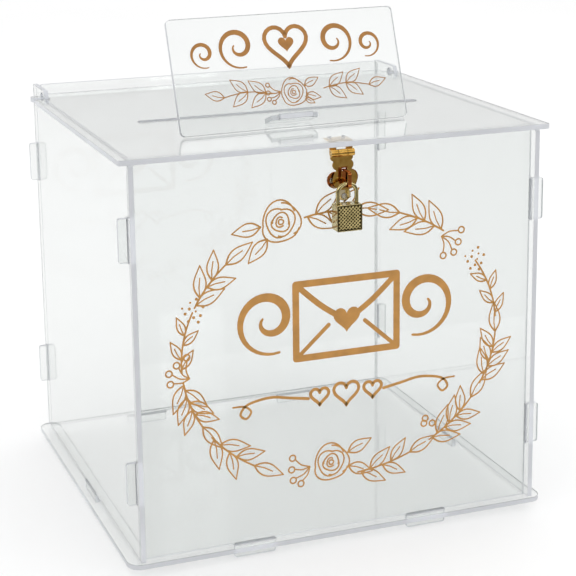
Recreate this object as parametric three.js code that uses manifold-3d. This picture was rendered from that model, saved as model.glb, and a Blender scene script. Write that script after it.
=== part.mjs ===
// Wedding card box: tab-and-slot acrylic panels, a hinged lid with a card slot, a brass hasp with a
// padlock, and a loose sign that leans on an easel foot.
// Millimetres, +Z up, +X right, the front faces -Y. The origin is the bottom centre of the whole object.
import * as THREE from 'three';
import { mergeVertices } from 'three/addons/utils/BufferGeometryUtils.js';
import Module from 'manifold-3d';

const wasm = await Module();
wasm.setup();

// ---------------------------------------------------------------- driving dimensions
const sheet = 3;              // thickness of every acrylic panel
const gap = 0.3;              // clearance between separate pieces that touch
const boxWidth = 254;         // across the outer faces of the side panels
const boxDepth = 242;         // length of the side panels, front to back
const tabWidth = 25.5;
const tabOut = 5.5;           // how far a tab stands out of the panel that it goes through
const tabRound = 1.4;
const panelHeight = 238;      // from the underside of the base to the top of the walls
const backRise = 9;           // how much higher the back panel and the ears stand
const frontSetback = 4.5;     // from the side panels' front edges to the front panel
const backSetback = 4.5;      // from the side panels' rear edges to the back panel
const baseOverSide = 7;
const baseOverFront = 1.5;
const baseRound = 8;
const sideTabHeights = [56, 200];    // centres of the tabs that go through the side panels
const bottomTabOffset = 55.7;        // centres of the front and back panels' bottom tabs, from X = 0
const lidGap = 1.3;           // from the top of the walls to the underside of the lid
const lidOverSide = 5.2;
const lidShift = -1.8;        // the lid lies this far to the left in the play between the side panels
const lidPlay = 2.3;          // nominal clearance between the lid and each side panel's inner face
const lidOverFront = 6.2;
const lidRound = 2;
const lidRear = 225;          // lid's rear edge, measured from the side panels' front edges
const pivotDepth = 215;       // lid's pivot axis, measured the same way
const pivotTab = 7;           // front-to-back size of a pivot tab
const pivotTabOut = 5.5;
const pivotHoleRadius = 4.15;
const earRadius = 8.4;        // front of the ear, around the pivot axis
const earFoot = 203;          // where the ear starts to rise out of the side panel's top edge
const notchFront = 205;       // front of the notch that clears the ear
const cardSlotLength = 186;
const cardSlotWidth = 6;
const cardSlotDepth = 101;    // centre line of the card slot
const leafX = -0.4;           // middle of the hasp's leaf and barrel
const stapleX = 1.6;          // middle of the staple's loop
const padlockX = 0.7;         // middle of the padlock
const padlockReach = 7.5;     // how far the padlock stands in front of the side panels' front edges

// ---------------------------------------------------------------- levels and stations
const yFront = (padlockReach - boxDepth - baseOverFront) / 2;
const at = (depth) => yFront + depth;          // depth from the side panels' front edges to row Y
const halfWidth = boxWidth / 2;
const innerHalf = halfWidth - sheet;
const baseUnder = tabOut;
const baseTop = baseUnder + sheet;
const wallFoot = baseTop + gap;
const wallTop = baseUnder + panelHeight;
const backTop = wallTop + backRise;
const lidUnder = wallTop + lidGap;
const lidTop = lidUnder + sheet;
const frontFace = frontSetback;                // depth of the front panel's front face
const backFace = boxDepth - backSetback - sheet;
const pivotHeight = lidUnder + sheet / 2;

// ---------------------------------------------------------------- materials
function material(color, roughness, metalness, opacity = 1) {
  return new THREE.MeshStandardMaterial({ color, roughness, metalness, opacity, transparent: opacity < 1 });
}
const acrylic = () => material(0xe6ecec, 0.05, 0, 0.35);
const gold = () => material(0xc79a3c, 0.25, 1);
const copper = () => material(0x9a5a2c, 0.3, 1);
const antiqueBrass = () => material(0xa08a52, 0.4, 1);
const steel = () => material(0xb9bcc0, 0.3, 1);

// ---------------------------------------------------------------- solids
const model = new THREE.Group();

function toManifold(geometry) {
  const g = geometry.clone();
  g.deleteAttribute('normal');
  g.deleteAttribute('uv');
  const merged = mergeVertices(g, 1e-4);
  const solid = new wasm.Manifold(new wasm.Mesh({
    numProp: 3,
    vertProperties: new Float32Array(merged.attributes.position.array),
    triVerts: new Uint32Array(merged.index.array),
  }));
  return solid;
}

function fromManifold(solid) {
  const mesh = solid.getMesh();
  const geometry = new THREE.BufferGeometry();
  geometry.setAttribute('position', new THREE.BufferAttribute(new Float32Array(mesh.vertProperties), 3));
  geometry.setIndex(new THREE.BufferAttribute(new Uint32Array(mesh.triVerts), 1));
  geometry.computeVertexNormals();
  return geometry;
}

function joined(...geometries) {
  return fromManifold(geometries.map(toManifold).reduce((all, solid) => all.add(solid)));
}

function cut(geometry, ...tools) {
  const start = toManifold(geometry);
  return fromManifold(tools.map(toManifold).reduce((rest, tool) => rest.subtract(tool), start));
}

function place(name, geometry, finish, parent = model) {
  const mesh = new THREE.Mesh(geometry, finish);
  mesh.name = name;
  parent.add(mesh);
  return mesh;
}

// Adds one corner of an outline, rounded by radius with the given number of segments.
function corner(points, x, y, fromX, fromY, toX, toY, radius, segments = 4) {
  if (radius <= 0) {
    points.push(new THREE.Vector2(x, y));
    return;
  }
  const into = new THREE.Vector2(x - fromX, y - fromY).normalize();
  const out = new THREE.Vector2(toX - x, toY - y).normalize();
  const start = new THREE.Vector2(x, y).addScaledVector(into, -radius);
  const end = new THREE.Vector2(x, y).addScaledVector(out, radius);
  const centre = start.clone().addScaledVector(out, radius);
  const turn = Math.sign(into.cross(out));
  const first = Math.atan2(start.y - centre.y, start.x - centre.x);
  for (let i = 0; i <= segments; i += 1) {
    const angle = first + turn * (Math.PI / 2) * (i / segments);
    points.push(new THREE.Vector2(centre.x + radius * Math.cos(angle), centre.y + radius * Math.sin(angle)));
  }
  points[points.length - 1].copy(end);
}

// Outline through right-angled corners, each given as [x, y, radius].
function outline(corners, segments = 4) {
  const points = [];
  corners.forEach(([x, y, radius], i) => {
    const before = corners[(i + corners.length - 1) % corners.length];
    const after = corners[(i + 1) % corners.length];
    corner(points, x, y, before[0], before[1], after[0], after[1], radius, segments);
  });
  return points;
}

function rectangle(x0, y0, x1, y1, radius = 0, segments = 4) {
  return outline([[x0, y0, radius], [x1, y0, radius], [x1, y1, radius], [x0, y1, radius]], segments);
}

function circle(x, y, radius, segments = 24) {
  return Array.from({ length: segments }, (_, i) => {
    const angle = (2 * Math.PI * i) / segments;
    return new THREE.Vector2(x + radius * Math.cos(angle), y + radius * Math.sin(angle));
  });
}

// Sheet of the given thickness above Z = 0, cut through by each hole's outline.
function plate(points, holes, thickness) {
  const slab = (edge, low, high) => new THREE.ExtrudeGeometry(new THREE.Shape(edge),
    { depth: high - low, bevelEnabled: false }).translate(0, 0, low);
  return cut(slab(points, 0, thickness), ...holes.map((hole) => slab(hole, -1, thickness + 1)));
}

// Plate drawn in X and Z, its front face at the given depth and its thickness towards the back.
function facingFront(points, holes, depth, thickness) {
  return plate(points, holes, thickness).rotateX(Math.PI / 2).translate(0, at(depth) + thickness, 0);
}

// Plate drawn in X and depth, its underside at the given height.
function lyingFlat(points, holes, height, thickness) {
  return plate(points, holes, thickness).translate(0, yFront, height);
}

// Plate drawn in depth and Z, its lower-X face at the given X.
function facingSide(points, holes, x, thickness) {
  return plate(points, holes, thickness).rotateX(Math.PI / 2).rotateZ(Math.PI / 2).translate(x, yFront, 0);
}

function cylinderZ(radius, height, x, depth, bottom, segments = 24) {
  return new THREE.CylinderGeometry(radius, radius, height, segments)
    .rotateX(Math.PI / 2).translate(x, at(depth), bottom + height / 2);
}

function cylinderY(radius, length, x, depth, height, segments = 20) {
  return new THREE.CylinderGeometry(radius, radius, length, segments)
    .translate(x, at(depth) + length / 2, height);
}

function cylinderX(radius, length, x, depth, height, segments = 24) {
  return new THREE.CylinderGeometry(radius, radius, length, segments)
    .rotateZ(Math.PI / 2).translate(x + length / 2, at(depth), height);
}

function block(x0, x1, depth0, depth1, z0, z1) {
  return new THREE.BoxGeometry(x1 - x0, depth1 - depth0, z1 - z0)
    .translate((x0 + x1) / 2, at((depth0 + depth1) / 2), (z0 + z1) / 2);
}

// ---------------------------------------------------------------- box panels
// Slot for a tab: the tab's section with the clearance all round.
function tabSlot(x0, y0, x1, y1) {
  return rectangle(x0 - gap, y0 - gap, x1 + gap, y1 + gap);
}

function basePlate() {
  const half = halfWidth + baseOverSide;
  const slots = [];
  for (const depth of [frontFace, backFace]) {
    for (const x of [-bottomTabOffset, bottomTabOffset]) {
      slots.push(tabSlot(x - tabWidth / 2, depth, x + tabWidth / 2, depth + sheet));
    }
  }
  for (const x of [-halfWidth, innerHalf]) {
    slots.push(tabSlot(x, (boxDepth - tabWidth) / 2, x + sheet, (boxDepth + tabWidth) / 2));
  }
  const shape = rectangle(-half, -baseOverFront, half, boxDepth + baseOverFront, baseRound, 6);
  return lyingFlat(shape, slots, baseUnder, sheet);
}

// Wall between the side panels, with two tabs on each side and two at the bottom.
function crossWall(depth, top, topRound, holes) {
  const edge = innerHalf - gap;
  const tip = halfWidth + tabOut;
  const corners = [[-edge, wallFoot, 0]];
  for (const x of [-bottomTabOffset, bottomTabOffset]) {
    corners.push([x - tabWidth / 2, wallFoot, 0], [x - tabWidth / 2, 0, tabRound]);
    corners.push([x + tabWidth / 2, 0, tabRound], [x + tabWidth / 2, wallFoot, 0]);
  }
  corners.push([edge, wallFoot, 0]);
  for (const z of sideTabHeights) {
    corners.push([edge, z - tabWidth / 2, 0], [tip, z - tabWidth / 2, tabRound]);
    corners.push([tip, z + tabWidth / 2, tabRound], [edge, z + tabWidth / 2, 0]);
  }
  corners.push([edge, top, topRound], [-edge, top, topRound]);
  for (const z of [...sideTabHeights].reverse()) {
    corners.push([-edge, z + tabWidth / 2, 0], [-tip, z + tabWidth / 2, tabRound]);
    corners.push([-tip, z - tabWidth / 2, tabRound], [-edge, z - tabWidth / 2, 0]);
  }
  return facingFront(outline(corners, 3), holes, depth, sheet);
}

// Side wall with its bottom tab, the slots for the cross walls' tabs, and the ear around the pivot hole.
function sideWall(x) {
  const tabFront = (boxDepth - tabWidth) / 2;
  const tabBack = (boxDepth + tabWidth) / 2;
  const start = outline([[0, wallFoot, 0], [tabFront, wallFoot, 0], [tabFront, 0, tabRound],
    [tabBack, 0, tabRound], [tabBack, wallFoot, 0], [boxDepth, wallFoot, 0]], 3);
  const points = [...start, new THREE.Vector2(boxDepth, backTop - 1.5), new THREE.Vector2(boxDepth - 0.44, backTop - 0.44),
    new THREE.Vector2(boxDepth - 1.5, backTop)];
  // The ear's front follows a circle around the pivot axis.
  const topAngle = Math.asin((backTop - pivotHeight) / earRadius);
  const steps = 8;
  for (let i = 0; i <= steps; i += 1) {
    const angle = Math.PI - topAngle + topAngle * (i / steps);
    points.push(new THREE.Vector2(pivotDepth + earRadius * Math.cos(angle), pivotHeight + earRadius * Math.sin(angle)));
  }
  const earFront = pivotDepth - earRadius;
  points.push(new THREE.Vector2((earFront + earFoot) / 2, wallTop + 0.6), new THREE.Vector2(earFoot, wallTop));
  points.push(new THREE.Vector2(1, wallTop), new THREE.Vector2(0, wallTop - 1));
  const holes = [circle(pivotDepth, pivotHeight, pivotHoleRadius, 32)];
  for (const depth of [frontFace, backFace]) {
    for (const z of sideTabHeights) {
      holes.push(tabSlot(depth, z - tabWidth / 2, depth + sheet, z + tabWidth / 2));
    }
  }
  return facingSide(points, holes, x, sheet);
}

function lidPanel(screwHoles) {
  const outer = halfWidth + lidOverSide;
  const inner = innerHalf - lidPlay;
  const tip = halfWidth + pivotTabOut;
  const tabFront = pivotDepth - pivotTab / 2;
  const tabBack = pivotDepth + pivotTab / 2;
  const rightSide = [[outer, -lidOverFront, lidRound], [outer, notchFront, 1.5], [inner, notchFront, 0],
    [inner, tabFront, 0], [tip, tabFront, 2], [tip, tabBack, 2], [inner, tabBack, 0], [inner, lidRear, 1]];
  const leftSide = [...rightSide].reverse().map(([x, y, radius]) => [-x, y, radius]);
  const slot = rectangle(-cardSlotLength / 2, cardSlotDepth - cardSlotWidth / 2, cardSlotLength / 2,
    cardSlotDepth + cardSlotWidth / 2, cardSlotWidth / 2 - 0.1, 6);
  const edge = outline([...rightSide, ...leftSide], 5);
  edge.forEach((point) => point.setX(point.x + lidShift));
  return lyingFlat(edge, [slot, ...screwHoles], lidUnder, sheet);
}

// ---------------------------------------------------------------- hasp
const brassSheet = 0.8;
const leafThickness = 0.7;
const barrelDepth = 0.9;
const barrelRadius = 2.2;
const barrelHeight = 239.9;
const knuckle = 4.1;
const middleKnuckle = 5.4;
const pinRadius = 0.8;
const pinHoleRadius = 0.95;
const haspHalf = knuckle + gap + middleKnuckle / 2;
const leafRear = 12.5;
const haspScrewX = 4.3;
const haspScrewDepth = 9.5;
const screwRadius = 0.9;
const screwHoleRadius = 1.2;
const nutThickness = 1.6;
const nutRadius = 2;
const sunkHeadRadius = 1.7;
const leafTop = lidUnder - gap;
const leafUnder = leafTop - leafThickness;

function barrelPiece(x0, length) {
  return cut(cylinderX(barrelRadius, length, x0, barrelDepth, barrelHeight, 28),
    cylinderX(pinHoleRadius, length + 2, x0 - 1, barrelDepth, barrelHeight, 20));
}

// Cone as deep as the leaf, wide at the bottom.
function coneZ(bottomRadius, topRadius, x) {
  return new THREE.CylinderGeometry(topRadius, bottomRadius, leafThickness, 20).rotateX(Math.PI / 2)
    .translate(x, at(haspScrewDepth), leafUnder + leafThickness / 2);
}

// Fixed leaf: a plate between the lid and the front panel's top edge; its front end turns down
// into the two outer knuckles.
function haspLeaf() {
  const left = leafX - haspHalf;
  const right = leafX + haspHalf;
  const bendRear = barrelDepth + barrelRadius;
  const bendFront = bendRear - leafThickness;
  const leaf = joined(
    block(left, right, bendFront, leafRear, leafUnder, leafTop),
    block(left, left + knuckle, bendFront, bendRear, barrelHeight, leafTop),
    block(right - knuckle, right, bendFront, bendRear, barrelHeight, leafTop),
    cylinderX(barrelRadius, knuckle, left, barrelDepth, barrelHeight, 28),
    cylinderX(barrelRadius, knuckle, right - knuckle, barrelDepth, barrelHeight, 28),
  );
  const bores = [cylinderX(pinHoleRadius, 2 * haspHalf + 2, left - 1, barrelDepth, barrelHeight, 20)];
  for (const side of [-1, 1]) {
    bores.push(coneZ(sunkHeadRadius + gap, screwHoleRadius, leafX + side * haspScrewX));
  }
  return cut(leaf, ...bores);
}

// Screw that points up through the leaf into the lid, its flat head sunk in the leaf.
function lidScrew(x) {
  return joined(
    coneZ(sunkHeadRadius, screwRadius, x),
    cylinderZ(screwRadius, lidTop - 0.2 - leafUnder - 0.4, x, haspScrewDepth, leafUnder + 0.4, 20),
  );
}

// ---------------------------------------------------------------- strap
// The strap hangs a little askew in its knuckle, so each pair of lobes lies further to the right.
const strapFront = barrelDepth + 1.1;
const strapLobes = [
  { x: -0.2, height: 237.2, spread: 4.4, radius: 2.6 },
  { x: 0.6, height: 232.5, spread: 3.4, radius: 3.1 },
  { x: 1.8, height: 224, spread: 1.4, radius: 6.3 },
];
const strapSlot = { half: 1.7, bottom: 219, top: 231.4 };

function disc(x, height, radius, depth, thickness, segments = 36) {
  return cylinderY(radius, thickness, x, depth, height, segments);
}

// Scalloped strap that hangs from the middle knuckle, with the slot that goes over the loop. It is
// cut straight just below the outer knuckles.
function haspStrap() {
  const lobes = strapLobes.flatMap(({ x, height, spread, radius }) => [-1, 1].map((side) => (
    disc(x + side * spread, height, radius, strapFront, brassSheet))));
  const web = block(leafX - 3.2, leafX + 4.4, strapFront, strapFront + brassSheet, 222, 238.6);
  const neck = block(leafX - middleKnuckle / 2, leafX + middleKnuckle / 2, strapFront, strapFront + brassSheet,
    238, barrelHeight + 0.4);
  const rollStart = leafX - middleKnuckle / 2;
  const roll = cylinderX(barrelRadius, middleKnuckle, rollStart, barrelDepth, barrelHeight, 28);
  const bore = cylinderX(pinHoleRadius, middleKnuckle + 2, rollStart - 1, barrelDepth, barrelHeight, 20);
  const slot = block(stapleX - strapSlot.half, stapleX + strapSlot.half, strapFront - 1, strapFront + 2,
    strapSlot.bottom, strapSlot.top);
  const room = [-1, 1].map((side) => {
    const inner = leafX + side * (middleKnuckle / 2);
    const outer = leafX + side * 12;
    return block(Math.min(inner, outer), Math.max(inner, outer), strapFront - 1, strapFront + 2,
      barrelHeight - barrelRadius - gap, barrelHeight + 3);
  });
  return cut(joined(...lobes, web, neck, roll), bore, slot, ...room);
}

// ---------------------------------------------------------------- staple
const staplePlateFront = frontFace - gap - leafThickness;
const stapleLobes = [
  { x: -5.3, height: 223.5, radius: 5 },
  { x: 3.9, height: 224.6, radius: 5 },
  { x: 0.4, height: 214.8, radius: 3.9 },
];
const stapleScrews = { left: [-7, 223.4], right: [5.6, 224.8], bottom: [0.4, 213.6] };
const loopHalfWidth = 1;
const loopStrip = 1;
const loopTop = 229.9;
const loopBottom = 220.2;
const loopReach = 6.1;        // how far the loop stands in front of the side panels' front edges

// Cone as deep as the staple plate, wide at the front.
function coneY(frontRadius, backRadius, x, height) {
  return new THREE.CylinderGeometry(backRadius, frontRadius, leafThickness, 20)
    .translate(x, at(staplePlateFront) + leafThickness / 2, height);
}

function staplePlate() {
  const pieces = stapleLobes.map(({ x, height, radius }) => (
    disc(stapleX + x, height, radius, staplePlateFront, leafThickness)));
  const web = block(stapleX - 3.4, stapleX + 3.4, staplePlateFront, staplePlateFront + leafThickness, 214, 228.4);
  const holes = Object.values(stapleScrews).map(([x, height]) => (
    coneY(sunkHeadRadius + gap, screwHoleRadius, stapleX + x, height)));
  const loopSlots = [loopTop - loopStrip / 2, loopBottom + loopStrip / 2].map((height) => (
    block(stapleX - loopHalfWidth - gap, stapleX + loopHalfWidth + gap, staplePlateFront - 1, staplePlateFront + 2,
      height - loopStrip / 2 - gap, height + loopStrip / 2 + gap)));
  return cut(joined(...pieces, web, block(stapleX - 2.4, stapleX + 2.4, staplePlateFront,
    staplePlateFront + leafThickness, 226, 231.4)), ...holes, ...loopSlots);
}

// Flat strip bent into a loop; its feet pass through the plate.
function stapleLoop() {
  const feet = staplePlateFront + leafThickness;
  const outer = outline([[feet, loopBottom, 0], [feet, loopBottom + loopStrip, 0],
    [-loopReach + loopStrip, loopBottom + loopStrip, 1.2], [-loopReach + loopStrip, loopTop - loopStrip, 1.2],
    [feet, loopTop - loopStrip, 0], [feet, loopTop, 0], [-loopReach, loopTop, 2.2], [-loopReach, loopBottom, 2.2]], 5);
  return facingSide(outer, [], stapleX - loopHalfWidth, 2 * loopHalfWidth);
}

// Screw through the staple plate and the front panel, its flat head sunk in the plate.
function stapleScrew(x, height) {
  const tip = frontFace + sheet + gap + nutThickness + 0.3;
  return joined(
    coneY(sunkHeadRadius, screwRadius, stapleX + x, height),
    cylinderY(screwRadius, tip - staplePlateFront - 0.4, stapleX + x, staplePlateFront + 0.4, height, 20),
  );
}

function stapleNut(x, height) {
  const front = frontFace + sheet + gap;
  return cut(cylinderY(nutRadius, nutThickness, stapleX + x, front, height, 6),
    cylinderY(screwHoleRadius - 0.1, nutThickness + 1, stapleX + x, front - 0.5, height, 16));
}

// ---------------------------------------------------------------- padlock
const padlockDepth = -3.5;    // middle plane of the shackle and the case
const caseWidth = 15.6;
const caseThickness = 8;
const caseBottom = 195.4;
const caseTop = 211;
const shackleRadius = 1.2;
const shackleSpread = 5.8;
const shackleTop = 223.9;
const longLeg = 201;
const shortLeg = 206.5;
const plugRadius = 2.4;
const plugHeight = 5;

// Round bar bent into a U, with its short leg on the left.
function padlockShackle() {
  const crown = shackleTop - shackleRadius - shackleSpread;
  const whole = new THREE.TorusGeometry(shackleSpread, shackleRadius, 20, 48)
    .translate(padlockX, 0, 0).rotateX(Math.PI / 2).translate(0, at(padlockDepth), crown);
  const below = block(padlockX - 10, padlockX + 10, padlockDepth - 3, padlockDepth + 3, crown - 10, crown);
  const leg = (x, foot) => cylinderZ(shackleRadius, crown + 0.1 - foot, padlockX + x, padlockDepth, foot, 20);
  return joined(cut(whole, below), leg(-shackleSpread, shortLeg), leg(shackleSpread, longLeg));
}

function padlockCase() {
  const half = caseWidth / 2;
  const body = facingFront(rectangle(padlockX - half, caseBottom, padlockX + half, caseTop, 0.8, 5), [],
    padlockDepth - caseThickness / 2, caseThickness);
  const bore = (x, foot) => cylinderZ(shackleRadius + gap, caseTop + 1 - foot + gap, padlockX + x, padlockDepth,
    foot - gap, 20);
  return cut(body, bore(-shackleSpread, shortLeg), bore(shackleSpread, longLeg),
    cylinderZ(plugRadius + gap, plugHeight + gap + 1, padlockX, padlockDepth, caseBottom - 1, 28));
}

// Round plug that the key turns, with the keyway cut in from below.
function keyPlug() {
  return cut(cylinderZ(plugRadius, plugHeight, padlockX, padlockDepth, caseBottom, 28),
    block(padlockX - 0.5, padlockX + 0.5, padlockDepth - 1.7, padlockDepth + 1.2, caseBottom - 1, caseBottom + 3.6));
}

// ---------------------------------------------------------------- sign
const signWidth = 145.6;
const signHeight = 68.7;
const signRound = 3;
const signLean = 19.6 * (Math.PI / 180);
const signTurn = 2.68 * (Math.PI / 180);
const signLeft = -84.5;       // X of the plate's lower left corner
const signDepth = 37.8;       // depth of the same corner
const footHalf = 10.6;
const footShoulder = 15;
const footFrontOut = 0.8;     // how far the foot's tab stands in front of the plate
const slotCentre = 6.5;       // height of the foot's slot up the plate
const footReach = 17;         // from the plate's front face to the foot's rear edge

// Puts a solid drawn with its width in X, its height in Z and its front at Y = 0 in the sign's pose.
function leanSign(geometry) {
  const lift = lidTop + gap + sheet * Math.sin(signLean);
  return geometry.rotateX(-signLean).rotateZ(signTurn).translate(signLeft, at(signDepth), lift);
}

function signPlate() {
  const slot = rectangle(signWidth / 2 - footHalf - gap, slotCentre - sheet / 2 - gap,
    signWidth / 2 + footHalf + gap, slotCentre + sheet / 2 + gap);
  const upright = plate(rectangle(0, 0, signWidth, signHeight, signRound, 8), [slot], sheet)
    .rotateX(Math.PI / 2).translate(0, sheet, 0);
  return leanSign(upright);
}

// Easel foot: a tab through the plate's slot, and wider shoulders behind the plate.
function signFoot() {
  const middle = signWidth / 2;
  const shoulder = sheet + gap;
  const half = [[middle + footHalf, -footFrontOut, 0.5], [middle + footHalf, shoulder, 0],
    [middle + footShoulder, shoulder, 0.5], [middle + footShoulder, footReach, 3]];
  const mirrored = [...half].reverse().map(([x, y, radius]) => [2 * middle - x, y, radius]);
  return leanSign(plate(outline([...half, ...mirrored]), [], sheet).translate(0, 0, slotCentre - sheet / 2));
}

// ---------------------------------------------------------------- assembly
place('base_plate', basePlate(), acrylic());
place('front_panel', crossWall(frontFace, wallTop, 0.8, Object.values(stapleScrews).map(([x, height]) => (
  circle(stapleX + x, height, screwHoleRadius, 16)))), acrylic());
place('back_panel', crossWall(backFace, backTop, 2, []), acrylic());
place('left_side_panel', sideWall(-halfWidth), acrylic());
place('right_side_panel', sideWall(innerHalf), acrylic());
place('staple_plate', staplePlate(), copper());
place('staple_loop', stapleLoop(), copper());
for (const [side, [x, height]] of Object.entries(stapleScrews)) {
  place(`staple_screw_${side}`, stapleScrew(x, height), steel());
  place(`staple_nut_${side}`, stapleNut(x, height), steel());
}

const lidScrewHoles = [-1, 1].map((side) => (
  circle(leafX + side * haspScrewX, haspScrewDepth, screwHoleRadius, 16)));
place('lid_panel', lidPanel(lidScrewHoles), acrylic());
place('hasp_leaf', haspLeaf(), gold());
place('hasp_pin', cylinderX(pinRadius, 2 * haspHalf, leafX - haspHalf, barrelDepth, barrelHeight, 20), gold());
for (const [side, sign] of [['left', -1], ['right', 1]]) {
  place(`hasp_screw_${side}`, lidScrew(leafX + sign * haspScrewX), steel());
}
place('hasp_strap', haspStrap(), gold());
place('padlock_shackle', padlockShackle(), antiqueBrass());
place('padlock_case', padlockCase(), antiqueBrass());
place('padlock_key_plug', keyPlug(), antiqueBrass());
place('sign_plate', signPlate(), acrylic());
place('sign_foot', signFoot(), acrylic());

export default model;
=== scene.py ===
import math

import bmesh
import bpy
from mathutils import Matrix, Vector


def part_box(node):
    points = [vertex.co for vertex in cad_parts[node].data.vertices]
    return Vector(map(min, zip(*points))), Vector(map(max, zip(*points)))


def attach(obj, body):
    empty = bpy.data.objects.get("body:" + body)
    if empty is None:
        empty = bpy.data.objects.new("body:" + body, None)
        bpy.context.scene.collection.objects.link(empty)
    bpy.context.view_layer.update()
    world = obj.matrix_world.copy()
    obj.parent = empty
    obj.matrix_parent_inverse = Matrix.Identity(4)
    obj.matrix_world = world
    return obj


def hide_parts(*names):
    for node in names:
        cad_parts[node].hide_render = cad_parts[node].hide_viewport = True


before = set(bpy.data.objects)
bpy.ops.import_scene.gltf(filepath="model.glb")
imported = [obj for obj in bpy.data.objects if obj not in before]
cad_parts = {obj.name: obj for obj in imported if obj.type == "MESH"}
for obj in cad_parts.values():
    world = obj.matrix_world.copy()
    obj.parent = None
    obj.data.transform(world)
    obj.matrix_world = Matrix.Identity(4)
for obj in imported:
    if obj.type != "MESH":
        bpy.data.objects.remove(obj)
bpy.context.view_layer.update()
MM = 0.001


# ---------------------------------------------------------------- driving dimensions, millimetres
CAMERA_AT = (-351.8, -967.8, 431.2)
CAMERA_YAW = 20.5            # degrees to the right of +Y
CAMERA_PITCH = 13.13         # degrees below the horizon
CAMERA_ROLL = -0.71
CAMERA_LENS = 102.8          # on a sensor 36 mm wide
CAMERA_SHIFT = -0.165        # the picture reaches further down than up, as with a shift lens

INK = 0.05                   # how far the print stands in front of its panel
WREATH_CENTRE = (1.6, 123.5)
WREATH_RADII = (100.0, 82.0)
# Each twig of the wreath: its first and last angle, its pairs of leaves and the leaves' length.
LEAFY_SPRIGS = ((156, 126, 2, 19), (104, 76, 2, 20), (50, 79, 2, 20), (334, 369, 3, 18),
                (304, 339, 3, 19), (275, 306, 2, 18), (214, 246, 2, 19), (187, 219, 3, 18))
FINE_LINE = 1.0
BERRY_LINE = 0.9

CASE_RIM = 0.9               # smooth rim around the padlock's recessed front and back
CASE_RECESS = 0.16
RIB_PITCH = 2.1              # between the diagonal ribs in the recess, measured level
RIB_HALF = 0.26

SIGN_LEFT = -84.5            # X of the sign's lower left corner
SIGN_DEPTH = 37.8            # and its depth behind the side panels' front edges
SIGN_LEAN = 19.6
SIGN_TURN = 2.68
SIGN_MIDDLE = 72.8

SHEET = 3.0                  # thickness of the acrylic


def low(node, axis):
    """Lower end of a CAD node along an axis, in millimetres."""
    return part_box(node)[0][axis] / MM


def high(node, axis):
    """Upper end of a CAD node along an axis, in millimetres."""
    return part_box(node)[1][axis] / MM


def direction(degrees):
    """Unit vector in the plane of a print."""
    return Vector((math.cos(math.radians(degrees)), math.sin(math.radians(degrees))))


# ---------------------------------------------------------------- node helpers
class Shader:
    """A material under construction: its node tree, its links and its Principled node."""

    def __init__(self, name):
        self.material = bpy.data.materials.new(name)
        self.material.use_nodes = True
        self.tree = self.material.node_tree
        self.principled = self.tree.nodes["Principled BSDF"]
        self.output = self.tree.nodes["Material Output"]
        self.place = self.node("ShaderNodeTexCoord")

    def node(self, kind, **settings):
        made = self.tree.nodes.new(kind)
        for key, value in settings.items():
            setattr(made, key, value)
        return made

    def link(self, source, target):
        self.tree.links.new(source, target)

    def set(self, **sockets):
        for key, value in sockets.items():
            self.principled.inputs[key.replace("_", " ")].default_value = value

    def noise(self, scale, detail=3.0, roughness=0.5):
        """Noise in object space; scale is in features per metre."""
        texture = self.node("ShaderNodeTexNoise")
        texture.inputs["Scale"].default_value = scale
        texture.inputs["Detail"].default_value = detail
        texture.inputs["Roughness"].default_value = roughness
        self.link(self.place.outputs["Object"], texture.inputs["Vector"])
        return texture.outputs["Fac"]

    def ramp(self, source, *stops):
        """Colour ramp through (position, colour) stops."""
        ramp = self.node("ShaderNodeValToRGB")
        elements = ramp.color_ramp.elements
        while len(elements) < len(stops):
            elements.new(0.5)
        for element, (position, colour) in zip(elements, stops):
            element.position = position
            element.color = (*colour, 1.0)
        self.link(source, ramp.inputs["Fac"])
        return ramp.outputs["Color"]

    def span(self, source, low_value, high_value):
        """Maps 0..1 to low_value..high_value."""
        node = self.node("ShaderNodeMapRange")
        node.inputs["To Min"].default_value = low_value
        node.inputs["To Max"].default_value = high_value
        self.link(source, node.inputs["Value"])
        return node.outputs["Result"]

    def math(self, operation, *values):
        """Math node; each value is a number or an output."""
        node = self.node("ShaderNodeMath", operation=operation)
        for socket, value in zip(node.inputs, values):
            if isinstance(value, float):
                socket.default_value = value
            else:
                self.link(value, socket)
        return node.outputs["Value"]

    def along(self, coordinate, axis):
        """One axis of a texture coordinate."""
        split = self.node("ShaderNodeSeparateXYZ")
        self.link(self.place.outputs[coordinate], split.inputs["Vector"])
        return split.outputs[axis]

    def bump(self, height, strength, distance, target=None):
        node = self.node("ShaderNodeBump")
        node.inputs["Strength"].default_value = strength
        node.inputs["Distance"].default_value = distance
        self.link(height, node.inputs["Height"])
        self.link(node.outputs["Normal"], (target or self.principled).inputs["Normal"])
        return node


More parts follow.
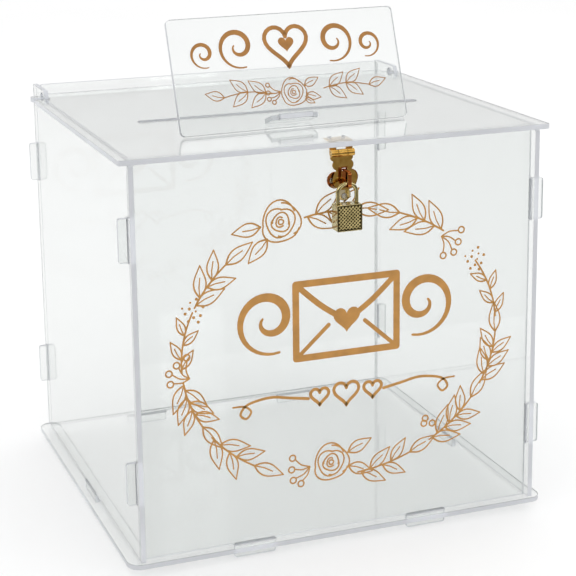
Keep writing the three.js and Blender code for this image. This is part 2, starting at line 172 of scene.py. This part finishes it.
# ---------------------------------------------------------------- materials
def acrylic(name, across, tint=(0.895, 0.908, 0.903)):
    """Clear sheet. across is the direction through the sheet, so that the cut edges can differ."""
    shader = Shader(name)
    shader.set(IOR=1.49, Roughness=0.02, Transmission_Weight=1.0, Base_Color=(*tint, 1.0))
    waves = shader.noise(9.0, 1.0)
    shader.bump(waves, 0.05, 0.0006)

    edge = shader.node("ShaderNodeBsdfPrincipled")
    edge.inputs["Base Color"].default_value = (0.72, 0.735, 0.77, 1.0)
    edge.inputs["Roughness"].default_value = 0.3
    edge.inputs["IOR"].default_value = 1.49
    edge.inputs["Transmission Weight"].default_value = 0.3
    saw = shader.noise(1400.0, 2.0)
    shader.bump(saw, 0.12, 0.0002, edge)

    facing = shader.node("ShaderNodeVectorMath", operation="DOT_PRODUCT")
    facing.inputs[1].default_value = across
    shader.link(shader.place.outputs["Normal"], facing.inputs[0])
    is_edge = shader.math("LESS_THAN", shader.math("ABSOLUTE", facing.outputs["Value"]), 0.6)
    sheet = shader.node("ShaderNodeMixShader")
    shader.link(is_edge, sheet.inputs["Fac"])
    shader.link(shader.principled.outputs["BSDF"], sheet.inputs[1])
    shader.link(edge.outputs["BSDF"], sheet.inputs[2])

    lamps = shader.node("ShaderNodeLightPath")
    clear = shader.node("ShaderNodeBsdfTransparent")
    clear.inputs["Color"].default_value = (0.99, 0.99, 0.99, 1.0)
    through = shader.node("ShaderNodeMixShader")
    shader.link(lamps.outputs["Is Shadow Ray"], through.inputs["Fac"])
    shader.link(sheet.outputs["Shader"], through.inputs[1])
    shader.link(clear.outputs["BSDF"], through.inputs[2])
    shader.link(through.outputs["Shader"], shader.output.inputs["Surface"])
    return shader.material


def plated(name, dark, bright, roughness=(0.16, 0.3), painted_reflection_below=None):
    """Plated metal: colour and roughness vary, with a fine orange-peel surface.

    The last argument is a height in metres under which the plating fades to pale gold: a painted reflection,
    baked into the base colour.
    """
    shader = Shader(name)
    shader.set(Metallic=1.0)
    cloud = shader.noise(260.0, 4.0, 0.6)
    colour = shader.ramp(cloud, (0.3, dark), (0.7, bright))
    if painted_reflection_below:
        # Painted reflection: below the given height the base colour blends over 3 mm to pale gold.
        fade = shader.node("ShaderNodeMapRange")
        fade.inputs["From Min"].default_value = painted_reflection_below
        fade.inputs["From Max"].default_value = painted_reflection_below - 0.003
        shader.link(shader.along("Object", "Z"), fade.inputs["Value"])
        mix = shader.node("ShaderNodeMixRGB")
        mix.inputs["Color2"].default_value = (0.95, 0.80, 0.50, 1.0)
        shader.link(fade.outputs["Result"], mix.inputs["Fac"])
        shader.link(colour, mix.inputs["Color1"])
        colour = mix.outputs["Color"]
    shader.link(colour, shader.principled.inputs["Base Color"])
    speck = shader.noise(1500.0, 3.0)
    shader.link(shader.span(speck, *roughness), shader.principled.inputs["Roughness"])
    shader.bump(shader.noise(900.0, 3.0), 0.18, 0.00006)
    return shader.material


def recessed(name):
    """Antique brass, dark on the recessed front and back and worn bright elsewhere."""
    shader = Shader(name)
    shader.set(Metallic=1.0)
    middle = (low("padlock_case", 1) + high("padlock_case", 1)) / 2
    half = (high("padlock_case", 1) - low("padlock_case", 1)) / 2
    away = shader.math("ABSOLUTE", shader.math("SUBTRACT", shader.along("Object", "Y"), middle * MM))
    faces = shader.math("GREATER_THAN", shader.math("ABSOLUTE", shader.along("Normal", "Y")), 0.8)
    inner = shader.math("LESS_THAN", away, (half - CASE_RECESS / 2) * MM)
    sunk = shader.math("MULTIPLY", faces, inner)
    bright = shader.math("SUBTRACT", 1.0, sunk)
    worn = shader.math("MULTIPLY_ADD", shader.noise(420.0, 3.0), 0.5, shader.math("MULTIPLY", bright, 0.6))
    colour = shader.ramp(worn, (0.15, (0.022, 0.016, 0.005)), (0.4, (0.09, 0.07, 0.025)),
                         (0.95, (0.62, 0.51, 0.25)))
    shader.link(colour, shader.principled.inputs["Base Color"])
    shader.link(shader.span(bright, 0.4, 0.17), shader.principled.inputs["Roughness"])
    shader.bump(shader.noise(1200.0, 3.0), 0.2, 0.00006)
    return shader.material


def ink(name, colour):
    """Metallic copper-gold print, a little uneven."""
    shader = Shader(name)
    shader.set(Metallic=0.1, Roughness=0.5)
    cloud = shader.noise(160.0, 3.0)
    darker = tuple(0.86 * c for c in colour)
    brighter = tuple(min(1.0, 1.1 * c) for c in colour)
    shader.link(shader.ramp(cloud, (0.3, darker), (0.7, brighter)), shader.principled.inputs["Base Color"])
    shader.bump(shader.noise(2500.0, 2.0), 0.1, 0.00004)
    return shader.material


def floor_paper():
    """Pale paper. Far in front of the box, shiny surfaces see it dark, as if outside the light."""
    shader = Shader("floor_paper")
    shader.set(Roughness=0.7)
    cloud = shader.noise(1.5, 2.0)
    shader.link(shader.ramp(cloud, (0.3, (0.93, 0.93, 0.93)), (0.7, (0.95, 0.95, 0.95))),
                shader.principled.inputs["Base Color"])
    shader.principled.inputs["Specular IOR Level"].default_value = 0.1
    rays = shader.node("ShaderNodeLightPath")
    dim = shader.node("ShaderNodeBsdfDiffuse")
    dim.inputs["Color"].default_value = (0.28, 0.28, 0.28, 1.0)
    both = shader.node("ShaderNodeMixShader")
    mirrored = shader.math("SUBTRACT", rays.outputs["Is Glossy Ray"], rays.outputs["Is Transmission Ray"])
    far_in_front = shader.math("LESS_THAN", shader.along("Object", "Y"), -0.47)
    shader.link(shader.math("MULTIPLY", mirrored, far_in_front), both.inputs["Fac"])
    shader.link(shader.principled.outputs["BSDF"], both.inputs[1])
    shader.link(dim.outputs["BSDF"], both.inputs[2])
    shader.link(both.outputs["Shader"], shader.output.inputs["Surface"])
    return shader.material


SIGN_AXES = (Matrix.Rotation(math.radians(SIGN_TURN), 4, "Z")
             @ Matrix.Rotation(-math.radians(SIGN_LEAN), 4, "X"))
sign_normal = tuple(SIGN_AXES @ Vector((0, 1, 0)))
foot_normal = tuple(SIGN_AXES @ Vector((0, 0, 1)))

CLEAR_X = acrylic("acrylic_side", (1, 0, 0))
CLEAR_Y = acrylic("acrylic_front", (0, 1, 0))
CLEAR_Z = acrylic("acrylic_flat", (0, 0, 1))
CLEAR_BASE = acrylic("acrylic_base", (0, 0, 1), (0.965, 0.975, 0.97))
CLEAR_SIGN = acrylic("acrylic_sign", sign_normal)
CLEAR_FOOT = acrylic("acrylic_foot", foot_normal)
GOLD = plated("gold_plate", (0.46, 0.25, 0.045), (0.68, 0.41, 0.11), (0.07, 0.15))
BRIGHT_GOLD = plated("bright_gold", (0.72, 0.48, 0.17), (0.90, 0.66, 0.28), (0.1, 0.2))
COPPER_TONES = ((0.34, 0.09, 0.02), (0.56, 0.19, 0.05), (0.07, 0.14))
COPPER = plated("copper_plate", *COPPER_TONES)
# Copper plating that fades to pale gold from 220.5 mm down to 217.5 mm: a painted reflection, not a colour of
# the metal.
COPPER_WITH_PAINTED_REFLECTION = plated("copper_with_painted_reflection", *COPPER_TONES, painted_reflection_below=0.2205)
OLIVE = plated("antique_brass", (0.34, 0.28, 0.12), (0.60, 0.50, 0.24), (0.09, 0.18))
CASE_BRASS = recessed("case_brass")
RIB_BRASS = plated("rib_brass", (0.24, 0.195, 0.08), (0.54, 0.44, 0.20), (0.2, 0.34))
STEEL = plated("bright_steel", (0.60, 0.60, 0.62), (0.78, 0.78, 0.80), (0.12, 0.24))
INK_GOLD = ink("print_gold", (0.45, 0.22, 0.05))
INK_SIGN = ink("print_sign", (0.38, 0.17, 0.035))


# ---------------------------------------------------------------- piece helpers
def add(name, mesh, material, body):
    piece = bpy.data.objects.new(name, mesh)
    bpy.context.scene.collection.objects.link(piece)
    mesh.materials.clear()
    mesh.materials.append(material)
    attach(piece, body)
    return piece


def soften(piece, angle=32):
    mesh = piece.data
    mesh.shade_smooth()
    mesh.set_sharp_from_angle(angle=math.radians(angle))


def bevel(piece, width, segments=3, angle=32):
    modifier = piece.modifiers.new("worn edges", "BEVEL")
    modifier.width = width * MM
    modifier.segments = segments
    modifier.limit_method = "ANGLE"
    modifier.angle_limit = math.radians(angle)
    modifier.harden_normals = True
    return modifier


def refined(node, body, material, width, segments=3, work=None):
    """A copy of a CAD node with clean faces and rounded edges, standing for that node."""
    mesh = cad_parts[node].data.copy()
    shape = bmesh.new()
    shape.from_mesh(mesh)
    bmesh.ops.remove_doubles(shape, verts=shape.verts, dist=1e-6)
    bmesh.ops.dissolve_limit(shape, angle_limit=math.radians(0.6), verts=shape.verts, edges=shape.edges)
    if work:
        work(shape)
    shape.to_mesh(mesh)
    shape.free()
    piece = add("fine_" + node, mesh, material, body)
    soften(piece)
    bevel(piece, width, segments)
    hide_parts(node)
    return piece


# ---------------------------------------------------------------- print: strokes and shapes
def smooth_path(points, steps=8, closed=False):
    """Catmull-Rom curve through points."""
    count = len(points)
    spans = count if closed else count - 1
    path = []
    for i in range(spans):
        if closed:
            p0, p1, p2, p3 = (points[(i + k - 1) % count] for k in range(4))
        else:
            p0, p1, p2, p3 = (points[min(max(i + k - 1, 0), count - 1)] for k in range(4))
        for k in range(steps):
            t = k / steps
            path.append(tuple(0.5 * (2 * b + (c - a) * t + (2 * a - 5 * b + 4 * c - d) * t * t
                                     + (3 * b - a - 3 * c + d) * t ** 3)
                              for a, b, c, d in zip(p0, p1, p2, p3)))
    path.append(points[0] if closed else points[-1])
    return [Vector(p) for p in path]


class Print:
    """Flat strokes and filled shapes on one surface, gathered in a single mesh."""

    def __init__(self, to_surface):
        self.to_surface = to_surface
        self.shape = bmesh.new()
        self.count = 0

    def vertex(self, point):
        lift = INK + 0.0015 * (self.count % 61)
        return self.shape.verts.new(self.to_surface(point[0], point[1], lift))

    def fill(self, outline):
        self.count += 1
        self.shape.faces.new([self.vertex(p) for p in outline])

    def dot(self, centre, radius, sides=14):
        self.fill([(centre[0] + radius * math.cos(2 * math.pi * i / sides),
                    centre[1] + radius * math.sin(2 * math.pi * i / sides)) for i in range(sides)])

    def stroke(self, path, width, taper=None):
        """Ribbon along path. taper maps 0..1 along it to a share of the width."""
        self.count += 1
        rows = []
        last = len(path) - 1
        for i, point in enumerate(path):
            along = (path[min(i + 1, last)] - path[max(i - 1, 0)]).normalized()
            side = Vector((-along.y, along.x)) * width / 2 * (taper(i / last) if taper else 1.0)
            rows.append((self.vertex(point + side), self.vertex(point - side)))
        for (a, b), (c, d) in zip(rows, rows[1:]):
            self.shape.faces.new((a, b, d, c))
        for end in (0, last):
            radius = width / 2 * (taper(end / last) if taper else 1.0)
            self.dot(path[end], radius, 12)

    def ring(self, centre, radius, width):
        points = [tuple(Vector(centre) + direction(45 * i) * radius) for i in range(8)]
        self.stroke(smooth_path(points, 3, closed=True), width)

    def leaf(self, base, tip, fullness, width, vein=0.62):
        """Pointed outline from base to tip, with a vein that starts at the base."""
        base, tip = Vector(base), Vector(tip)
        along = tip - base
        side = Vector((-along.y, along.x))
        for sign in (1, -1):
            points = [base, base + along * 0.25 + side * sign * fullness * 0.78,
                      base + along * 0.55 + side * sign * fullness * 0.86, tip]
            self.stroke(smooth_path([tuple(p) for p in points], 6), width, lambda s: 1.15 - 0.35 * s)
        if vein:
            self.stroke([base, base + along * vein * 0.5 + side * 0.03, base + along * vein], width * 0.8)

    def rose(self, centre, radius, width, turn=0.0):
        """Generic rose: nested petals, each an open arc around the centre."""
        centre = Vector(centre)
        petals = ((1.0, 0.00, 150), (0.99, 0.42, 150), (0.97, 0.78, 130), (0.74, 0.15, 190),
                  (0.70, 0.62, 190), (0.47, 0.35, 210), (0.44, 0.85, 200), (0.25, 0.1, 230), (0.13, 0.6, 360))
        for share, start, sweep in petals:
            path = []
            for i in range(15):
                angle = 2 * math.pi * (start + turn) + math.radians(sweep) * i / 14
                wobble = 1.0 + 0.07 * math.sin(3 * angle + 9 * share) - 0.10 * abs(2 * i / 14 - 1) ** 3
                path.append(centre + Vector((math.cos(angle), math.sin(angle))) * radius * share * wobble)
            self.stroke(path, width)

    def heart(self, centre, size, width=None):
        """Heart of the given width: filled, or an outline if a line width is given."""
        points = []
        for i in range(40):
            t = 2 * math.pi * i / 40
            x = 16 * math.sin(t) ** 3
            y = 13 * math.cos(t) - 5 * math.cos(2 * t) - 2 * math.cos(3 * t) - math.cos(4 * t)
            points.append((centre[0] + x * size / 32, centre[1] + y * size / 32))
        if width:
            self.stroke([Vector(p) for p in [*points, points[0]]], width)
        else:
            self.fill(points)

    def berries(self, base, directions, length, radius, width):
        for k, angle in enumerate(directions):
            reach = length * (1.0 - 0.12 * (k % 2))
            toward = direction(angle)
            end = Vector(base) + toward * reach
            bend = Vector((-toward.y, toward.x)) * 0.12 * reach
            middle = Vector(base) + toward * reach * 0.5 + bend
            self.stroke(smooth_path([tuple(base), tuple(middle), tuple(end)], 5), width)
            self.ring(end + toward * radius, radius, width * 1.1)

    def volute(self, centre, radius, side, width):
        """Calligraphic spiral that winds inwards from below; side is -1 or 1."""
        path = []
        for i in range(49):
            angle = -0.6 * math.pi + 2.7 * math.pi * i / 48
            reach = radius * (1 - 0.82 * i / 48)
            offset = Vector((side * math.cos(angle), math.sin(angle))) * reach
            path.append(Vector(centre) + offset)
        self.stroke(path, width, swash)

    def piece(self, name, material, body, slot=None):
        mesh = bpy.data.meshes.new(name)
        self.shape.to_mesh(mesh)
        self.shape.free()
        return add(name, mesh, material, body)


def swash(s):
    """Calligraphic pressure: thin at both ends and full in the middle."""
    return 0.28 + 0.72 * math.sin(math.pi * s) ** 1.3


# ---------------------------------------------------------------- print on the front panel
def on_wreath(degrees, share=1.0):
    angle = math.radians(degrees)
    return Vector((WREATH_CENTRE[0] + WREATH_RADII[0] * share * math.cos(angle),
                   WREATH_CENTRE[1] + WREATH_RADII[1] * share * math.sin(angle)))


def sprig(art, start, end, pairs, length, tip=True, dots=False):
    """Leafy twig along the wreath, from the angle start to the angle end."""
    stem_end = start + (end - start) * (0.66 if tip else 1.0)
    spine = [on_wreath(start + (stem_end - start) * i / 12) for i in range(13)]
    art.stroke(spine, FINE_LINE * 1.1)
    for k in range(pairs):
        for sign in (1, -1):
            place = start + (stem_end - start) * (0.06 + 0.8 * (k + 0.2 * (1 + sign)) / pairs)
            base = on_wreath(place)
            ahead = (on_wreath(place + (end - start) * 0.1) - base).normalized()
            angle = math.radians(sign * (34 + 5 * k))
            heading = Vector((ahead.x * math.cos(angle) - ahead.y * math.sin(angle),
                              ahead.x * math.sin(angle) + ahead.y * math.cos(angle)))
            art.leaf(base, base + heading * length * (1.0 - 0.07 * k), 0.21, FINE_LINE)
    if tip:
        ahead = on_wreath(end) - spine[-1]
        art.leaf(spine[-1], spine[-1] + ahead.normalized() * length * 1.05, 0.21, FINE_LINE)
    if dots:
        head = on_wreath(end + (end - start) * 0.02)
        for k in range(12):
            angle = 2.4 * k
            offset = Vector((math.cos(angle), math.sin(angle))) * (2.2 * math.sqrt(k + 0.6))
            art.dot(head + offset, 0.95 if k % 3 else 0.7, 10)


def front_print():
    face = low("front_panel", 1)

    def to_surface(u, v, lift):
        return Vector((u, face - lift, v)) * MM

    art = Print(to_surface)
    for start, end, pairs, length in LEAFY_SPRIGS:
        sprig(art, start, end, pairs, length)
    for start, end in ((4, 31), (183, 158)):
        sprig(art, start, end, 2, 13, tip=False, dots=True)
    rose_high = on_wreath(112, 1.03)
    rose_low = on_wreath(264.5, 0.89)
    for centre, radius, leaves in ((rose_high, 12.3, (188, 228)), (rose_low, 11.6, (24, -20))):
        art.rose(centre, radius, FINE_LINE, 0.1)
        for angle in leaves:
            toward = direction(angle)
            art.leaf(centre + toward * radius * 1.02, centre + toward * radius * 2.45, 0.24, FINE_LINE)
    art.berries(on_wreath(49, 0.96), (12, -22, -52, -84), 11.5, 1.9, BERRY_LINE)
    art.berries(on_wreath(186, 0.96), (96, 130, 160, 190), 11, 1.9, BERRY_LINE)
    art.berries(on_wreath(256, 0.92), (148, 182, 214, 240), 11, 1.9, BERRY_LINE)
    for angle, share in ((307, 0.87), (309.5, 0.91), (309, 0.845)):
        art.ring(on_wreath(angle, share), 1.9, FINE_LINE)
    envelope(art, (3.5, 141.0), 64.0, 45.0, 4.2)
    flourish(art, (3.0, 94.0), 142.0)
    return art.piece("front_print", INK_GOLD, "box")


def envelope(art, centre, width, height, line):
    """Card envelope with a heart on its flap, between two bold volutes."""
    x, z = centre
    half, rise = width / 2, height / 2
    corners = [(x - half, z - rise), (x + half, z - rise), (x + half, z + rise), (x - half, z + rise)]
    for a, b in zip(corners, corners[1:] + corners[:1]):
        art.stroke([Vector(a), (Vector(a) + Vector(b)) / 2, Vector(b)], line)
    point = (x, z - rise * 0.12)
    for sign in (-1, 1):
        flap = [(x + sign * half, z + rise), (x + sign * half * 0.5, z + rise * 0.36), point]
        art.stroke(smooth_path(flap, 8), line * 0.85)
        fold = [(x + sign * half, z - rise), (x + sign * half * 0.36, z - rise * 0.18)]
        art.stroke([Vector(p) for p in fold], line * 0.6)
        art.volute((x + sign * (half + 17), z + 3), 21.0, sign, line * 1.3)
    art.heart((x, z - rise * 0.05), 17.0)


def flourish(art, centre, width):
    """Fine line with a curl at each end and three hearts in the middle."""
    x, z = centre
    half = width / 2
    for sign in (-1, 1):
        line = [(x + sign * half, z), (x + sign * (half - 7), z - 0.5), (x + sign * (half - 11), z - 4),
                (x + sign * (half - 8), z - 8), (x + sign * (half - 4.5), z - 5),
                (x + sign * (half - 9), z + 0.5), (x + sign * half * 0.68, z + 3),
                (x + sign * half * 0.5, z + 1), (x + sign * half * 0.34, z - 1)]
        art.stroke(smooth_path(line, 8), 1.5, lambda s: 0.75 + 0.5 * s)
    for offset, size in ((-17, 11.5), (0, 16.0), (17, 11.5)):
        art.heart((x + offset, z), size, 2.0)


# ---------------------------------------------------------------- print on the sign
def sign_print():
    """A heart between swashes, over a row of leaves with a rose."""
    lift_off = high("lid_panel", 2) + 0.3 + SHEET * math.sin(math.radians(SIGN_LEAN))
    origin = Vector((SIGN_LEFT, low("left_side_panel", 1) + SIGN_DEPTH, lift_off))

    def to_surface(u, v, lift):
        return (origin + SIGN_AXES.to_3x3() @ Vector((u, -lift, v))) * MM

    art = Print(to_surface)
    line = 0.62
    middle = SIGN_MIDDLE
    art.heart((middle, 50), 27, 2.6)
    art.heart((middle, 50), 10)
    for sign in (-1, 1):
        art.volute((middle + sign * 31, 50), 13.0, sign, 3.2)
        art.volute((middle + sign * 53, 47), 8.5, sign, 2.4)
    row = 20.5
    art.rose((middle + 0.5, row), 8.4, line, 0.15)
    for angle, reach in ((24, 19), (-14, 18), (-30, 15)):
        toward = direction(angle)
        start = Vector((middle, row)) + toward * 8.6
        art.leaf(start, Vector((middle, row)) + toward * reach, 0.26, line)
    art.berries((middle - 8, row + 1), (150, 182, 208, 232), 7.5, 1.2, line)
    for sign, start in ((-1, 13.5), (1, 20.0)):
        stem = [Vector((middle + sign * (start + 30 * i / 8), row + (0.9 if sign > 0 else 0.0)
                        + 2.2 * math.sin(math.pi * i / 8))) for i in range(9)]
        art.stroke(stem, line)
        for k in (1, 4):
            for side in (1, -1):
                angle = math.radians(side * 38)
                heading = Vector((sign * math.cos(angle), math.sin(angle)))
                art.leaf(stem[k], stem[k] + heading * 13, 0.25, line)
        art.leaf(stem[-1], stem[-1] + Vector((sign * 11.5, 3.0)), 0.25, line)
    return art.piece("sign_print", INK_SIGN, "sign")


# ---------------------------------------------------------------- acrylic panels
def panels():
    for node, body, material in (("base_plate", "box", CLEAR_BASE), ("front_panel", "box", CLEAR_Y),
                                 ("back_panel", "box", CLEAR_Y), ("left_side_panel", "box", CLEAR_X),
                                 ("right_side_panel", "box", CLEAR_X), ("lid_panel", "lid", CLEAR_Z),
                                 ("sign_plate", "sign", CLEAR_SIGN), ("sign_foot", "sign", CLEAR_FOOT)):
        refined(node, body, material, 0.22, 2)


# ---------------------------------------------------------------- hardware
def recess_case(shape):
    """Sinks the padlock's front and back inside a smooth rim."""
    for sign in (-1, 1):
        faces = [face for face in shape.faces if face.normal.y * sign > 0.99]
        bmesh.ops.inset_region(shape, faces=faces, thickness=CASE_RIM * MM, depth=-CASE_RECESS * MM)


def case_ribs():
    """Crossed diagonal ribs in both recesses, their tops level with the rim."""
    left, right = low("padlock_case", 0) + CASE_RIM, high("padlock_case", 0) - CASE_RIM
    bottom, top = low("padlock_case", 2) + CASE_RIM, high("padlock_case", 2) - CASE_RIM
    shape = bmesh.new()
    for outer, inward in ((low("padlock_case", 1), 1), (high("padlock_case", 1), -1)):
        foot = outer + inward * CASE_RECESS
        count = math.ceil((right - left + top - bottom) / RIB_PITCH)
        for slope in (1, -1):
            for k in range(count):
                rise = (k + 0.5) * RIB_PITCH - (right - left)
                start = max(left, left - rise)
                end = min(right, left + top - bottom - rise)
                if end - start > 2 * RIB_HALF:
                    ends = [Vector((x if slope > 0 else left + right - x, 0.0, bottom + x - left + rise))
                            for x in (start + RIB_HALF, end - RIB_HALF)]
                    rib(shape, ends, foot, outer)
    bmesh.ops.recalc_face_normals(shape, faces=shape.faces)
    mesh = bpy.data.meshes.new("case_ribs")
    shape.to_mesh(mesh)
    shape.free()
    return add("case_ribs", mesh, RIB_BRASS, "padlock_case")


def rib(shape, ends, foot, outer):
    """Closed ridge between two ends, its foot in the recess."""
    along = (ends[1] - ends[0]).normalized()
    side = Vector((-along.z, 0.0, along.x)) * RIB_HALF
    rows = []
    for end in ends:
        points = (end + side, end - side, end)
        depths = (foot, foot, outer)
        rows.append([shape.verts.new(Vector((p.x, depth, p.z)) * MM) for p, depth in zip(points, depths)])
    first, last = rows
    shape.faces.new(first)
    shape.faces.new(last)
    for i in range(3):
        shape.faces.new((first[i], first[(i + 1) % 3], last[(i + 1) % 3], last[i]))


def hardware():
    refined("hasp_leaf", "lid", GOLD, 0.15)
    refined("hasp_pin", "lid", BRIGHT_GOLD, 0.2)
    refined("hasp_strap", "strap", GOLD, 0.2)
    # Staple plate: copper with a painted reflection in pale gold on its lower part.
    refined("staple_plate", "box", COPPER_WITH_PAINTED_REFLECTION, 0.3, 4)
    refined("staple_loop", "box", COPPER, 0.22)
    for side in ("left", "right", "bottom"):
        refined("staple_screw_" + side, "box", STEEL, 0.1)
        refined("staple_nut_" + side, "box", STEEL, 0.15)
    for side in ("left", "right"):
        refined("hasp_screw_" + side, "lid", STEEL, 0.15)
    refined("padlock_shackle", "shackle", OLIVE, 0.15)
    refined("padlock_case", "padlock_case", CASE_BRASS, 0.12, 2, recess_case)
    case_ribs()
    refined("padlock_key_plug", "key_plug", BRIGHT_GOLD, 0.15)


# ---------------------------------------------------------------- stage, light and camera
def stage():
    mesh = bpy.data.meshes.new("floor")
    reach = 30.0
    corners = [(x * reach, y * reach, -5e-5) for x, y in ((-1, -1), (1, -1), (1, 1), (-1, 1))]
    mesh.from_pydata(corners, [], [(0, 1, 2, 3)])
    floor = bpy.data.objects.new("floor", mesh)
    bpy.context.scene.collection.objects.link(floor)
    mesh.materials.append(floor_paper())


def sky():
    """White studio. Shiny surfaces see a dark wall and a bright ceiling in front of the box."""
    world = bpy.data.worlds.new("studio")
    bpy.context.scene.world = world
    world.use_nodes = True
    tree = world.node_tree
    background = tree.nodes["Background"]
    background.inputs["Strength"].default_value = 1.08
    place = tree.nodes.new("ShaderNodeTexCoord")
    split = tree.nodes.new("ShaderNodeSeparateXYZ")
    tree.links.new(place.outputs["Generated"], split.inputs["Vector"])
    ramp = tree.nodes.new("ShaderNodeValToRGB")
    stops = ((0.5, 0.10), (0.64, 0.12), (0.67, 1.6), (0.80, 1.6), (0.84, 0.12), (0.97, 0.18), (1.0, 1.2))
    elements = ramp.color_ramp.elements
    while len(elements) < len(stops):
        elements.new(0.5)
    for element, (position, value) in zip(elements, stops):
        element.position = position
        element.color = (value, value, value, 1.0)
    height = tree.nodes.new("ShaderNodeMapRange")
    height.inputs["From Min"].default_value = -1.0
    tree.links.new(split.outputs["Z"], height.inputs["Value"])
    tree.links.new(height.outputs["Result"], ramp.inputs["Fac"])
    front = tree.nodes.new("ShaderNodeMath")
    front.operation = "LESS_THAN"
    front.inputs[1].default_value = 0.15
    tree.links.new(split.outputs["Y"], front.inputs[0])
    rays = tree.nodes.new("ShaderNodeLightPath")
    mirrored = tree.nodes.new("ShaderNodeMath")
    mirrored.operation = "SUBTRACT"
    mirrored.use_clamp = True
    tree.links.new(rays.outputs["Is Glossy Ray"], mirrored.inputs[0])
    tree.links.new(rays.outputs["Is Transmission Ray"], mirrored.inputs[1])
    seen = tree.nodes.new("ShaderNodeMixRGB")
    seen.inputs["Color1"].default_value = (0.6, 0.6, 0.6, 1.0)
    tree.links.new(front.outputs["Value"], seen.inputs["Fac"])
    tree.links.new(ramp.outputs["Color"], seen.inputs["Color2"])
    pick = tree.nodes.new("ShaderNodeMixRGB")
    pick.inputs["Color1"].default_value = (1.0, 1.0, 1.0, 1.0)
    tree.links.new(mirrored.outputs["Value"], pick.inputs["Fac"])
    tree.links.new(seen.outputs["Color"], pick.inputs["Color2"])
    tree.links.new(pick.outputs["Color"], background.inputs["Color"])


def lamp(name, place, size, power, aim=(0.0, 0.0, 0.12)):
    light = bpy.data.lights.new(name, "AREA")
    light.shape = "RECTANGLE"
    light.size, light.size_y = size
    light.energy = power
    made = bpy.data.objects.new(name, light)
    bpy.context.scene.collection.objects.link(made)
    made.location = place
    made.rotation_mode = "QUATERNION"
    made.rotation_quaternion = (Vector(aim) - Vector(place)).to_track_quat("-Z", "Y")


def camera():
    yaw, pitch, roll = (math.radians(a) for a in (CAMERA_YAW, CAMERA_PITCH, CAMERA_ROLL))
    forward = Vector((math.sin(yaw) * math.cos(pitch), math.cos(yaw) * math.cos(pitch), -math.sin(pitch)))
    level = Vector((math.cos(yaw), -math.sin(yaw), 0.0))
    up = level.cross(forward)
    right = level * math.cos(roll) + up * math.sin(roll)
    top = up * math.cos(roll) - level * math.sin(roll)
    data = bpy.data.cameras.new("camera")
    data.sensor_width = 36.0
    data.lens = CAMERA_LENS
    data.shift_y = CAMERA_SHIFT
    data.clip_start, data.clip_end = 0.01, 100.0
    made = bpy.data.objects.new("camera", data)
    bpy.context.scene.collection.objects.link(made)
    turn = Matrix((right, top, -forward)).transposed().to_4x4()
    made.matrix_world = Matrix.Translation(Vector(CAMERA_AT) * MM) @ turn
    bpy.context.scene.camera = made


camera()
sky()
stage()
lamp("ceiling_softbox", (0.2, 0.1, 1.9), (1.2, 1.2), 3.0)
lamp("left_softbox", (-1.5, -1.1, 0.9), (0.4, 1.0), 1.6)
lamp("front_strip", (0.5, -1.6, 0.6), (0.12, 1.0), 1.0)
panels()
hardware()
front_print()
sign_print()
bpy.context.scene.view_settings.view_transform = "Standard"
